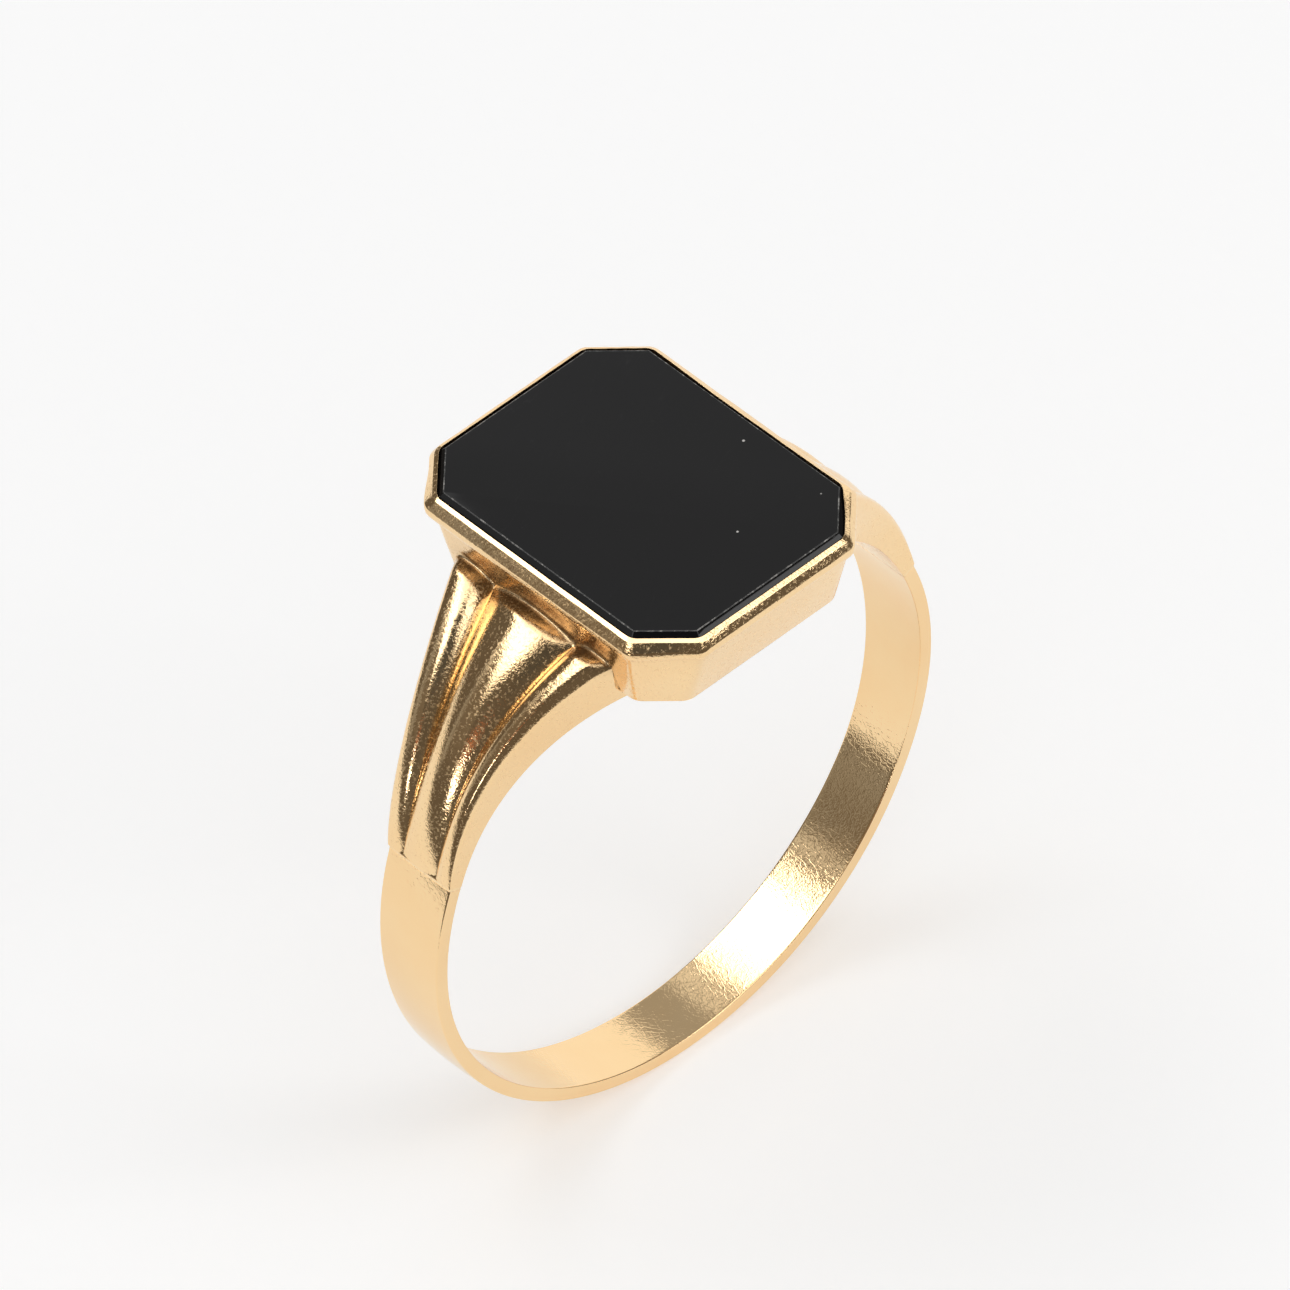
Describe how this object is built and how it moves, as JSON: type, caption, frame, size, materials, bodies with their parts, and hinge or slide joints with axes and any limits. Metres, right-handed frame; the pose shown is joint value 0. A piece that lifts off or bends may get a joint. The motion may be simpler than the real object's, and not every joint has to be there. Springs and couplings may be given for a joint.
{
  "type": "signet ring",
  "caption": "Gold signet ring with a flat black octagon stone in a tapered collet, reeded shoulders that flare up to it, and a thin plain band.",
  "frame": {"origin": "centre of the finger hole, on its axis, midway across the band", "axes": "+Y along the finger hole's axis, +Z from the hole up to the stone's table, +X across the hand from one shoulder to the other"},
  "size_m": [0.0182, 0.0104, 0.0204],
  "materials": {
    "gold": "polished 18 carat yellow gold with fine wear scratches",
    "solder": "polished pale gold solder, a shade lighter than the gold",
    "onyx": "polished black, flat table and narrow bevel"
  },
  "bodies": {
    "root": {"shank": "gold", "left_shoulder": "gold", "right_shoulder": "gold", "collet_wall": "gold", "setting_rim": "gold", "bearing_ledge": "gold", "back_plate": "gold", "onyx_tablet": "onyx", "left_head_solder": "solder", "right_head_solder": "solder", "left_shank_solder": "solder", "right_shank_solder": "solder"}
  },
  "joints": []
}
